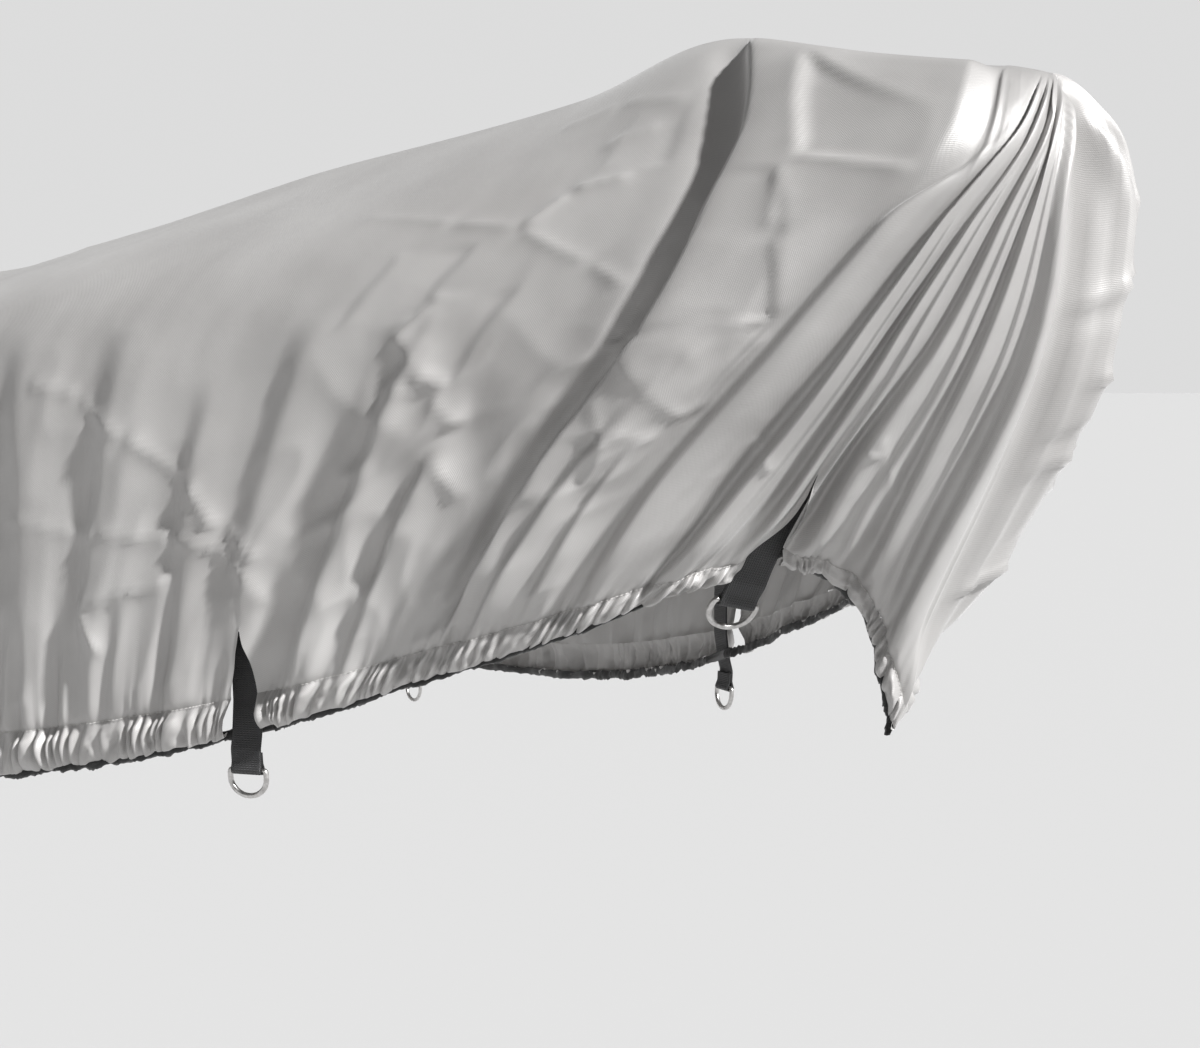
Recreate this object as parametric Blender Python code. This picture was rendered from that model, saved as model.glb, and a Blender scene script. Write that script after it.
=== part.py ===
"""Fitted cover for a small boat, as it hangs when pulled over the boat's bow.

The cover is one cloth with a gathered hem. Black elastic runs in the hem, and short webbing
loops with steel D-rings hang behind notches in it. The boat itself is not part of the model.

Hull coordinates, used by every table here: X = 0 at the stem and forward positive, Y to port,
Z = 0 at the height of the rub rail at the bow. The objects are placed with the point under the
cover's highest ridge, where the boat carries it, at the world origin.
"""
import math

import bpy
import numpy as np

# ---------------------------------------------------------------- driving dimensions (metres)
CLOTH = 0.0020              # thickness of the cover's solid
RIDGE = (-0.145, 0.0, 0.522)   # underside of the cloth at its highest point, hull coordinates
GAP = 0.0004                # least air between neighbouring pieces

WEBBING_WIDTH = 0.032
WEBBING_THICKNESS = 0.0018
ROD = 0.0045                # diameter of the D-ring's wire
RING_INSIDE = 0.0345        # clear width of the D-ring, just over the webbing's
RING_DROP = 0.025           # from the D-ring's straight bar to its rounded end, middle to middle
STRAP_BELOW_HEM = 0.036     # from the hem's edge down to the D-ring's bar
STRAP_ABOVE_HEM = 0.055     # webbing hidden behind the cloth above the hem
STRAP_TAIL = 0.014          # webbing folded back up behind the D-ring
STRAP_IN = -0.0025          # the webbing below the hem hangs this far inside the cloth's face

NOTCH_WIDTH = 0.037         # opening of a notch at the hem's edge
ELASTIC_HEIGHT = 0.011
ELASTIC_THICKNESS = 0.0022
ELASTIC_SHOWS = 0.0045      # how far the elastic reaches below the hem's edge

FINE_SPACING = 0.024        # columns of the cloth's grid at the bow
COARSE_SPACING = 0.100      # and along the plain stretch aft
FINE_UNTIL = 0.80           # distance round the hem, from the stem, where the fine columns end
RINGS = (0, 0.06, 0.14, 0.22, 0.30, 0.38, 0.46, 0.54, 0.62, 0.70, 0.78, 0.86, 0.93, 1.0)

# Table of offsets, starboard side. A row is a rib from the hem up to the ridge line.
# The last column is the ridge point's X and Z, since it lies in the middle plane.
#   hem                  wall                  knee                 upper              ridge
OFFSETS = (
    ((.012, 0, -.012), (.060, 0, .085), (.142, 0, .260), (.156, 0, .400), (.136, .462)),
    ((.009, -.013, .030), (.061, -.022, .126), (.145, -.034, .279), (.165, -.036, .410), (.134, .470)),
    ((-.002, -.027, .085), (.044, -.045, .158), (.123, -.056, .286), (.160, -.044, .410), (.130, .472)),
    ((-.028, -.064, .114), (.017, -.076, .176), (.102, -.074, .289), (.152, -.050, .411), (.124, .474)),
    ((-.068, -.115, .103), (-.006, -.100, .182), (.076, -.092, .290), (.142, -.056, .411), (.116, .476)),
    ((-.110, -.152, .085), (-.033, -.123, .185), (.057, -.104, .290), (.128, -.062, .410), (.106, .478)),
    ((-.155, -.178, .064), (-.081, -.156, .181), (.021, -.123, .297), (.106, -.070, .410), (.088, .480)),
    ((-.206, -.205, .044), (-.134, -.185, .168), (-.028, -.147, .300), (.020, -.092, .412), (-.005, .495)),
    ((-.276, -.236, .018), (-.210, -.219, .155), (-.122, -.183, .300), (-.100, -.112, .421), (-.142, .523)),
    ((-.400, -.290, -.027), (-.355, -.280, .135), (-.290, -.240, .312), (-.280, -.145, .418), (-.300, .490)),
    ((-.620, -.370, -.081), (-.615, -.370, .100), (-.610, -.340, .305), (-.600, -.180, .395), (-.590, .455)),
    ((-1.000, -.480, -.125), (-1.000, -.480, .060), (-1.000, -.440, .255), (-1.000, -.240, .340), (-1.000, .380)),
    ((-1.600, -.600, -.150), (-1.600, -.605, .030), (-1.600, -.560, .200), (-1.600, -.300, .280), (-1.600, .315)),
    ((-2.300, -.680, -.158), (-2.300, -.685, .010), (-2.300, -.635, .170), (-2.300, -.340, .245), (-2.300, .280)),
    ((-3.000, -.705, -.158), (-3.000, -.710, 0), (-3.000, -.655, .155), (-2.980, -.350, .230), (-2.960, .262)),
    ((-3.560, -.675, -.155), (-3.560, -.680, 0), (-3.520, -.615, .150), (-3.460, -.320, .215), (-3.400, .245)),
    ((-3.790, -.555, -.153), (-3.790, -.560, 0), (-3.730, -.500, .145), (-3.640, -.250, .205), (-3.520, .238)),
    ((-3.865, -.300, -.152), (-3.870, -.300, 0), (-3.810, -.270, .145), (-3.720, -.140, .200), (-3.590, .233)),
    ((-3.875, 0, -.152), (-3.880, 0, 0), (-3.830, 0, .145), (-3.740, 0, .200), (-3.620, .231)),
)
OFFSET_LEVELS = (1.0, 0.78, 0.50, 0.24, 0.0)    # how far down each column of the table lies

# The bow's two front lobes don't stand square: both lean to port, the port one swells further.
LEAN = 0.016
PORT_SWELL = (0.0, 0.042, 0.024, 0.010, 0.0)     # at the levels above
SWELL_REACH = 0.22

# Folds. "top", "middle" and "hem" are distances round the hem from the stem, "down" is the
# stretch from ridge (0) to hem (1), "fore" and "aft" are the widths of the fold's two flanks.
FOLDS = (
    # side   top    middle  hem     down from, to   height  fore    aft
    ("S",    0.455, 0.455,  0.470,  0.00, 0.97,     0.018,  0.090,  0.022),
    ("S",    0.337, 0.337,  0.345,  0.08, 0.97,     0.012,  0.045,  0.020),
    ("S",    0.281, 0.275,  0.285,  0.05, 1.00,     0.010,  0.024,  0.020),
    ("S",    0.222, 0.212,  0.255,  0.05, 0.90,     0.009,  0.022,  0.020),
    ("S",    0.156, 0.150,  0.170,  0.05, 1.00,     0.008,  0.022,  0.020),
    ("S",    0.092, 0.092,  0.100,  0.05, 1.00,     0.007,  0.020,  0.018),
    ("S",    0.760, 0.730,  0.750,  0.45, 1.00,     0.010,  0.060,  0.040),
    ("S",    0.590, 0.570,  0.590,  0.50, 1.00,     0.008,  0.040,  0.040),
    ("P",    0.450, 0.440,  0.480,  0.02, 0.97,     0.014,  0.070,  0.025),
    ("P",    0.310, 0.320,  0.330,  0.08, 0.97,     0.010,  0.040,  0.025),
    ("P",    0.160, 0.170,  0.180,  0.08, 1.00,     0.009,  0.025,  0.022),
    ("P",    0.700, 0.680,  0.690,  0.45, 1.00,     0.010,  0.060,  0.040),
)
SAG = 0.010                 # swell and sag of the plain cloth aft
SAG_LENGTH = 0.62

# Straps: how far round the hem from the stem each one leaves it, and how far its lower end
# leans towards the bow
STRAPS = (
    # name  round   lean, degrees
    ("1",   0.190,  4.0),
    ("2",   0.640, 15.0),
    ("3",   1.450,  6.0),
    ("4",   2.350,  4.0),
    ("5",   3.250,  3.0),
)
NOTCH_TOPS = {"1": 0.76, "2": 0.88}     # where a notch starts, as a stretch from ridge to hem
NOTCH_TOP = 0.88                        # and the rest


# ---------------------------------------------------------------- the cover's surface
def slopes(x, y, level_start=False):
    """Slope of a smooth curve at each of its points. A rib starts level at the ridge."""
    step = np.diff(x)[:, None]
    chord = np.diff(y, axis=0) / step
    slope = np.empty_like(y)
    slope[1:-1] = (chord[:-1] * step[1:] + chord[1:] * step[:-1]) / (step[1:] + step[:-1])
    slope[0] = chord[0]
    slope[-1] = chord[-1]
    if level_start:
        slope[0, 2] = 0.0
    return slope


def smooth_curve(x, y, at, level_start=False):
    """Points at the given places on the smooth curve through (x, y)."""
    at = np.clip(at, x[0], x[-1])
    i = np.clip(np.searchsorted(x, at, side="right") - 1, 0, len(x) - 2)
    slope = slopes(x, y, level_start)
    step = (x[i + 1] - x[i])[:, None]
    t = (at - x[i])[:, None] / step
    hermite = (2 * t**3 - 3 * t**2 + 1) * y[i] + (3 * t**2 - 2 * t**3) * y[i + 1]
    return hermite + step * ((t**3 - 2 * t**2 + t) * slope[i] + (t**3 - t**2) * slope[i + 1])


def ribs():
    """The table of offsets as one array, with each rib's distance round the hem."""
    rows = np.array([row[:-1] + ((row[-1][0], 0.0, row[-1][1]),) for row in OFFSETS])
    steps = np.linalg.norm(np.diff(rows[:, 0], axis=0), axis=1)
    return np.concatenate([[0.0], np.cumsum(steps)]), rows


RIB_AT, RIB_ROWS = ribs()
HEM_LENGTH = RIB_AT[-1]     # one side, from the stem to the middle of the stern


def smoothstep(low, high, value):
    t = np.clip((value - low) / (high - low), 0.0, 1.0)
    return t * t * (3.0 - 2.0 * t)


def base_surface(around, down, side):
    """Points of the cloth without folds, for a grid of distances round the hem and levels."""
    levels = np.array(OFFSET_LEVELS[::-1])
    at_levels = np.array([smooth_curve(levels, rib[::-1], down, True) for rib in RIB_ROWS])
    points = np.stack([smooth_curve(RIB_AT, at_levels[:, j], around) for j in range(len(down))], axis=1)
    if side == "P":
        points[..., 1] *= -1.0
        swell = smooth_curve(levels, np.array(PORT_SWELL[::-1])[:, None], down)[:, 0]
        reach = smoothstep(0.0, 0.08, around) * np.exp(-(around / SWELL_REACH) ** 2)
        points += np.array((0.25, 1.0, 0.0)) * (reach[:, None] * swell[None, :])[..., None]
    lean = np.exp(-(around / 0.15) ** 2)[:, None] * (1.0 - down)[None, :] ** 0.7
    points[..., 1] += LEAN * lean
    return points


def outward(points, side):
    """Unit normals of a grid of points, facing away from the boat."""
    along = np.gradient(points, axis=0)
    downward = np.gradient(points, axis=1)
    normal = np.cross(along, downward) * (1.0 if side == "S" else -1.0)
    return normal / np.maximum(np.linalg.norm(normal, axis=2, keepdims=True), 1e-9)


def fold_height(around, down, side):
    """How far the folds stand off the smooth cover."""
    a, r = np.meshgrid(around, down, indexing="ij")
    height = np.zeros_like(a)
    for where, top, middle, hem, start, end, rise, fore, aft in FOLDS:
        if where != side:
            continue
        line = top * (1 - r) * (1 - 2 * r) + 4 * middle * r * (1 - r) + hem * r * (2 * r - 1)
        t = a - line
        flank = np.where(t < 0, fore, aft)
        crest = np.exp(-(t / flank) ** 2)
        trough = 0.45 * np.exp(-((t - 2.2 * aft) / (1.2 * aft)) ** 2)
        fade = smoothstep(start, start + 0.12, r) * (1 - smoothstep(end - 0.05, end + 0.12, r))
        height += rise * (crest - trough) * fade
    aft_part = smoothstep(0.8, 1.4, a) * smoothstep(0.05, 0.35, r) * (1 - smoothstep(0.9, 1.1, r))
    wave = np.sin(2 * math.pi * a / SAG_LENGTH + (1.1 if side == "P" else 0.0))
    return height + SAG * wave * aft_part


def cover_surface(around, down, side):
    """Points on the cloth's middle layer, folds included, and the outward normals."""
    around = np.asarray(around, float)
    down = np.asarray(down, float)
    base = base_surface(around, down, side)
    edge = smoothstep(0.0, 0.10, down)[None, :] * smoothstep(0.0, 0.03, around)[:, None]
    normal = outward(base, side)
    pinch = np.linalg.norm(np.gradient(base, around, axis=0), axis=2)
    height = fold_height(around, down, side) * edge * np.clip(pinch, 0.25, 1.0)
    return base + normal * height[..., None], normal


def columns():
    """Distances round the hem of the grid's columns, fine at the bow and coarse aft.
    A strap's middle always falls on a column, because its notch opens there."""
    fixed = [0.0] + [row[1] for row in STRAPS] + [HEM_LENGTH]
    places = [0.0]
    for start, end in zip(fixed, fixed[1:]):
        middle = (start + end) / 2
        spacing = FINE_SPACING if middle < FINE_UNTIL else COARSE_SPACING
        count = max(1, round((end - start) / spacing))
        if start < FINE_UNTIL < middle:
            spread = np.linspace(0, 1, max(2, round((end - start) / 0.055)) + 1)[1:]
            places += list(start + (end - start) * (0.55 * spread + 0.45 * spread**2))
        else:
            places += list(np.linspace(start, end, count + 1)[1:])
    return np.array(places)


# ---------------------------------------------------------------- making objects
def clear_scene():
    for obj in list(bpy.data.objects):
        bpy.data.objects.remove(obj, do_unlink=True)


def material(name, colour, roughness, metallic=0.0):
    mat = bpy.data.materials.new(name)
    mat.use_nodes = True
    shader = mat.node_tree.nodes["Principled BSDF"]
    shader.inputs["Base Color"].default_value = (*colour, 1.0)
    shader.inputs["Roughness"].default_value = roughness
    shader.inputs["Metallic"].default_value = metallic
    return mat


def add_object(name, vertices, faces, mat):
    """A mesh object whose points are given in hull coordinates."""
    mesh = bpy.data.meshes.new(name)
    mesh.from_pydata([tuple(v) for v in np.asarray(vertices) - np.array(RIDGE)], [], faces)
    mesh.update()
    mesh.materials.append(mat)
    mesh.shade_smooth()
    obj = bpy.data.objects.new(name, mesh)
    bpy.context.scene.collection.objects.link(obj)
    return obj


def thicken(obj, thickness):
    solid = obj.modifiers.new("thickness", "SOLIDIFY")
    solid.thickness = thickness
    solid.offset = 0.0
    solid.use_rim = True
    return solid


# ---------------------------------------------------------------- the cloth
def notch_start(name):
    return NOTCH_TOPS.get(name, NOTCH_TOP)


def cover_body(mat):
    """One sheet that runs from the ridge down both sides, with a notch at each strap."""
    around = columns()
    last = len(around) - 1
    vertices = []
    index = {}
    notches = {int(np.argmin(abs(around - row[1]))): row for row in STRAPS}
    for side in "SP":
        grid, _ = cover_surface(around, RINGS, side)
        for i in range(len(around)):
            for j in range(len(RINGS)):
                shared = side == "P" and (j == 0 or i in (0, last))
                if shared:
                    index[side, i, j, 0] = index[side, i, j, 1] = index["S", i, j, 0]
                    continue
                spread = 0.0
                if i in notches:
                    start = notch_start(notches[i][0])
                    spread = max(0.0, (RINGS[j] - start) / (1.0 - start)) * NOTCH_WIDTH / 2
                if spread == 0.0:
                    vertices.append(grid[i, j])
                    index[side, i, j, 0] = index[side, i, j, 1] = len(vertices) - 1
                    continue
                for half, step in ((0, -1), (1, 1)):
                    towards = grid[i + step, j] - grid[i, j]
                    vertices.append(grid[i, j] + towards / np.linalg.norm(towards) * spread)
                    index[side, i, j, half] = len(vertices) - 1
    faces = []
    for side in "SP":
        for i in range(last):
            for j in range(len(RINGS) - 1):
                quad = [index[side, i, j, 1], index[side, i, j + 1, 1],
                        index[side, i + 1, j + 1, 0], index[side, i + 1, j, 0]]
                faces.append(quad if side == "S" else quad[::-1])
    obj = add_object("cover_body", vertices, faces, mat)
    thicken(obj, CLOTH)
    return obj


# ---------------------------------------------------------------- hem, straps and rings
def hem_frames(around, side):
    """Hem points with the outward and the downward direction of the cloth there."""
    grid, normal = cover_surface(around, (0.93, 1.0), side)
    down = grid[:, 1] - grid[:, 0]
    down /= np.linalg.norm(down, axis=1, keepdims=True)
    facing = normal[:, 1].copy()
    ends = (around == 0.0) | (around == HEM_LENGTH)
    facing[ends, 1] = 0.0
    facing /= np.linalg.norm(facing, axis=1, keepdims=True)
    return grid[:, 1], facing, down


def hem_elastic(mat):
    """The elastic: a flat band round the whole hem, just inside the cloth, drawn in further
    where it passes behind a strap."""
    around = columns()
    loops = []
    for side in "SP":
        hem, normal, down = hem_frames(around, side)
        inset = CLOTH / 2 + 0.0025 + ELASTIC_THICKNESS / 2
        behind = sum(np.exp(-((around - row[1]) / 0.045) ** 2) for row in STRAPS)
        depth = inset + 0.0150 * np.clip(behind, 0, 1) + 0.0020 * np.exp(-(around / 0.04) ** 2)
        centre = hem - normal * depth[:, None] + down * (ELASTIC_SHOWS - ELASTIC_HEIGHT / 2)
        half_t = normal * (ELASTIC_THICKNESS / 2)
        half_h = down * (ELASTIC_HEIGHT / 2)
        loop = np.stack([centre + half_t - half_h, centre + half_t + half_h,
                         centre - half_t + half_h, centre - half_t - half_h], axis=1)
        loops.append(loop if side == "S" else loop[::-1][1:-1])
    sections = np.concatenate(loops)
    count = len(sections)
    faces = []
    for i in range(count):
        n = (i + 1) % count
        for k in range(4):
            m = (k + 1) % 4
            faces.append([i * 4 + k, i * 4 + m, n * 4 + m, n * 4 + k])
    return add_object("hem_elastic", sections.reshape(-1, 3), faces, mat)


def strap_frame(row, side):
    """Where a strap crosses the hem, and its directions: across, down and out."""
    name, place, lean = row
    hem, normal, down = hem_frames(np.array([place - 0.012, place, place + 0.012]), side)
    across = hem[2] - hem[0]
    across /= np.linalg.norm(across)
    column, _ = cover_surface((place - 0.012, place, place + 0.012), (notch_start(name), 1.0), side)
    run = column[1, 1] - column[1, 0]
    run /= np.linalg.norm(run)
    out = np.cross(across, run)
    out /= np.linalg.norm(out)
    if out @ normal[1] < 0:
        out = -out
    turn = math.radians(lean)
    run = run * math.cos(turn) - across * math.sin(turn)
    wide = np.cross(run, out)
    return hem[1], wide, run, out


def strap_path():
    """Middle line of the webbing as (down, out) steps from the hem point: behind the cloth,
    out through the notch, round the D-ring's bar and back up."""
    bar = STRAP_BELOW_HEM
    turn = ROD / 2 + GAP + WEBBING_THICKNESS / 2
    lay = WEBBING_THICKNESS + GAP
    centre_out = STRAP_IN - lay / 2
    path = [(-STRAP_ABOVE_HEM, STRAP_IN - 0.0090), (-STRAP_ABOVE_HEM / 2, STRAP_IN - 0.0085),
            (-0.012, STRAP_IN - 0.0060), (0.003, STRAP_IN - 0.0035), (0.016, STRAP_IN),
            (bar - turn - 0.004, STRAP_IN)]
    for k in range(9):
        angle = math.radians(10 + 160 * k / 8)
        path.append((bar + turn * math.sin(angle), centre_out + turn * math.cos(angle)))
    path += [(bar - turn - 0.003, STRAP_IN - lay), (bar - turn - STRAP_TAIL, STRAP_IN - lay)]
    return path, (bar, centre_out)


def strap(row, side, mat):
    hem, wide, run, out = strap_frame(row, side)
    path, _ = strap_path()
    vertices = []
    for down, off in path:
        middle = hem + run * down + out * off
        vertices += [middle - wide * WEBBING_WIDTH / 2, middle + wide * WEBBING_WIDTH / 2]
    faces = [[2 * k, 2 * k + 1, 2 * k + 3, 2 * k + 2] for k in range(len(path) - 1)]
    obj = add_object(f"strap_{side}{row[0]}", vertices, faces, mat)
    thicken(obj, WEBBING_THICKNESS)
    return obj


def ring_outline():
    """D-ring's middle line: a straight bar, two short sides and a round end."""
    half = (RING_INSIDE + ROD) / 2
    points = [(-half + 0.0015, 0.0), (half - 0.0015, 0.0), (half, -0.002)]
    straight = -0.008
    for k in range(9):
        angle = math.pi * k / 8
        points.append((half * math.cos(angle), straight - (RING_DROP + straight) * math.sin(angle)))
    points.append((-half, -0.002))
    return points


def d_ring(row, side, mat):
    """The wire ring, hanging from the loop of a strap."""
    hem, wide, run, out = strap_frame(row, side)
    _, (bar_down, bar_out) = strap_path()
    centre = hem + run * bar_down + out * bar_out
    outline = [centre + wide * u - run * v for u, v in ring_outline()]
    count = len(outline)
    sides = 6
    vertices = []
    for k in range(count):
        before = outline[k] - outline[k - 1]
        after = outline[(k + 1) % count] - outline[k]
        tangent = before / np.linalg.norm(before) + after / np.linalg.norm(after)
        tangent /= np.linalg.norm(tangent)
        inward = np.cross(tangent, out)
        for m in range(sides):
            angle = 2 * math.pi * (m + 0.5) / sides
            vertices.append(outline[k] + (out * math.cos(angle) + inward * math.sin(angle)) * ROD / 2)
    faces = []
    for k in range(count):
        n = (k + 1) % count
        for m in range(sides):
            faces.append([k * sides + m, n * sides + m,
                          n * sides + (m + 1) % sides, k * sides + (m + 1) % sides])
    return add_object(f"ring_{side}{row[0]}", vertices, faces, mat)


def make_outward(obj):
    """Turn a closed mesh's faces outward."""
    mesh = obj.data
    volume = 0.0
    for poly in mesh.polygons:
        corners = [mesh.vertices[i].co for i in poly.vertices]
        for k in range(1, len(corners) - 1):
            volume += corners[0].dot(corners[k].cross(corners[k + 1]))
    if volume < 0:
        mesh.flip_normals()


def main():
    clear_scene()
    cloth = material("cover_cloth", (0.50, 0.49, 0.48), 0.50)
    black = material("black_webbing", (0.02, 0.02, 0.022), 0.80)
    elastic = material("black_elastic", (0.015, 0.015, 0.015), 0.90)
    steel = material("ring_steel", (0.62, 0.61, 0.60), 0.30, 1.0)
    cover_body(cloth)
    make_outward(hem_elastic(elastic))
    for side in "SP":
        for row in STRAPS:
            strap(row, side, black)
            make_outward(d_ring(row, side, steel))


main()
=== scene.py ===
"""Looks of the fitted boat cover: its cloth with folds and packing creases, the gathered hem,
elastic, stitching, webbing and D-rings. Hull coordinates as in the model: X = 0 at the stem."""
import math

import bmesh
import bpy
import numpy as np
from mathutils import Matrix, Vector


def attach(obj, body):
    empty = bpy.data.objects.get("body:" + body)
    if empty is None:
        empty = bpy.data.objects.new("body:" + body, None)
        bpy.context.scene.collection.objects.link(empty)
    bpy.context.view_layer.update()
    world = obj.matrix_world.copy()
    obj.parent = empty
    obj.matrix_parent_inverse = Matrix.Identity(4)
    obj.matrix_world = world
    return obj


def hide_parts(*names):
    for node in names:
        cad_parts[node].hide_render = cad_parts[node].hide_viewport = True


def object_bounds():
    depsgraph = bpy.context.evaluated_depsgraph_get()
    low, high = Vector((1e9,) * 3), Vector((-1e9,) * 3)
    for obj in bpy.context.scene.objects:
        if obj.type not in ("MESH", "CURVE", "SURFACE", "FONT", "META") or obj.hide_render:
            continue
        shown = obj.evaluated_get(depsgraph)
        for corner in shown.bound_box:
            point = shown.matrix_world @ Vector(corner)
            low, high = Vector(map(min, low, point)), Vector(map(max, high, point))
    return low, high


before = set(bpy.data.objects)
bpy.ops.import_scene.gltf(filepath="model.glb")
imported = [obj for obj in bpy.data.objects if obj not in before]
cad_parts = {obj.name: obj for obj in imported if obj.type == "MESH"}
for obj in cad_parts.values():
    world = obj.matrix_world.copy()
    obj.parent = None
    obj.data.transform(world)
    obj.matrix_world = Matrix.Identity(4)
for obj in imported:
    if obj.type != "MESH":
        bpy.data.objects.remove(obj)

CAD_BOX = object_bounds()

# ---------------------------------------------------------------- driving dimensions (metres)
RIDGE = np.array((-0.145, 0.0, 0.522))     # world origin, in hull coordinates
WEBBING_WIDTH = 0.032
WEBBING_THICKNESS = 0.0018
ROD = 0.0045
RING_INSIDE = 0.0345
RING_DROP = 0.025
STRAP_BELOW_HEM = 0.036
STRAP_ABOVE_HEM = 0.055
STRAP_TAIL = 0.014
STRAP_IN = -0.0025
STRAP_GAP = 0.0004
NOTCH_WIDTH = 0.037
NOTCH_EASE = 0.055          # how far round a notch the cloth is pushed aside
NOTCH_LEAN_REACH = 0.20     # levels above a notch over which its lean dies out
STITCH_LEVEL = 0.958        # where the hem's channel starts, from ridge (0) to hem (1)
BOW_END = 0.95              # distance round the hem where the closely modelled cloth ends
STEM_FADE = 0.03            # folds die out this close to the stem
STERN_FADE = 0.12           # and this close to the middle of the stern
CLOTH_WEAVE = 0.0016        # pitch of the cloth's weave
WEBBING_WARP = 0.0016       # pitches of the webbing's weave, across and along
WEBBING_RIB = 0.0021
RING_POINTS = 120           # round each D-ring

# Camera: degrees round from the side to the bow, place right of and behind the stem, and lens
VIEW_TURN = 45.0
VIEW_PITCH = 4.863
EYE_RIGHT = -0.216
EYE_BACK = 1.55
EYE_HEIGHT = 0.2767
LENS = 61.35
SUN_FROM = (1.12, 0.18, 0.92)
SUN_ENERGY = 6.9
SUN_ANGLE = 4.0             # degrees
FLOOR_DROP = 1.6            # below the cover
FLOOR_HALF = 120.0

# Table of offsets, starboard side: hem, wall, knee, upper, ridge (X and Z) of each rib
OFFSETS = (
    ((.012, 0, -.012), (.06, 0, .085), (.142, 0, .26), (.156, 0, .4), (.136, .462)),
    ((.009, -.013, .03), (.061, -.022, .126), (.145, -.034, .279), (.165, -.036, .41), (.134, .47)),
    ((-.002, -.027, .085), (.044, -.045, .158), (.123, -.056, .286), (.16, -.044, .41), (.13, .472)),
    ((-.028, -.064, .114), (.017, -.076, .176), (.102, -.074, .289), (.152, -.05, .411), (.124, .474)),
    ((-.068, -.115, .103), (-.006, -.1, .182), (.076, -.092, .29), (.142, -.056, .411), (.116, .476)),
    ((-.11, -.152, .085), (-.033, -.123, .185), (.057, -.104, .29), (.128, -.062, .41), (.106, .478)),
    ((-.155, -.178, .064), (-.081, -.156, .181), (.021, -.123, .297), (.106, -.07, .41), (.088, .48)),
    ((-.206, -.205, .044), (-.134, -.185, .168), (-.028, -.147, .3), (.02, -.092, .412), (-.005, .495)),
    ((-.276, -.236, .018), (-.21, -.219, .155), (-.122, -.183, .3), (-.1, -.112, .421), (-.142, .523)),
    ((-.4, -.29, -.027), (-.355, -.28, .135), (-.29, -.24, .312), (-.28, -.145, .418), (-.3, .49)),
    ((-.62, -.37, -.081), (-.615, -.37, .1), (-.61, -.34, .305), (-.6, -.18, .395), (-.59, .455)),
    ((-1.0, -.48, -.125), (-1.0, -.48, .06), (-1.0, -.44, .255), (-1.0, -.24, .34), (-1.0, .38)),
    ((-1.6, -.6, -.15), (-1.6, -.605, .03), (-1.6, -.56, .2), (-1.6, -.3, .28), (-1.6, .315)),
    ((-2.3, -.68, -.158), (-2.3, -.685, .01), (-2.3, -.635, .17), (-2.3, -.34, .245), (-2.3, .28)),
    ((-3.0, -.705, -.158), (-3.0, -.71, 0), (-3.0, -.655, .155), (-2.98, -.35, .23), (-2.96, .262)),
    ((-3.56, -.675, -.155), (-3.56, -.68, 0), (-3.52, -.615, .15), (-3.46, -.32, .215), (-3.4, .245)),
    ((-3.79, -.555, -.153), (-3.79, -.56, 0), (-3.73, -.5, .145), (-3.64, -.25, .205), (-3.52, .238)),
    ((-3.865, -.3, -.152), (-3.87, -.3, 0), (-3.81, -.27, .145), (-3.72, -.14, .2), (-3.59, .233)),
    ((-3.875, 0, -.152), (-3.88, 0, 0), (-3.83, 0, .145), (-3.74, 0, .2), (-3.62, .231)),
)
OFFSET_LEVELS = (1.0, 0.78, 0.50, 0.24, 0.0)
LEAN = 0.016
PORT_SWELL = (0.0, 0.042, 0.024, 0.010, 0.0)
SWELL_REACH = 0.22

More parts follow.
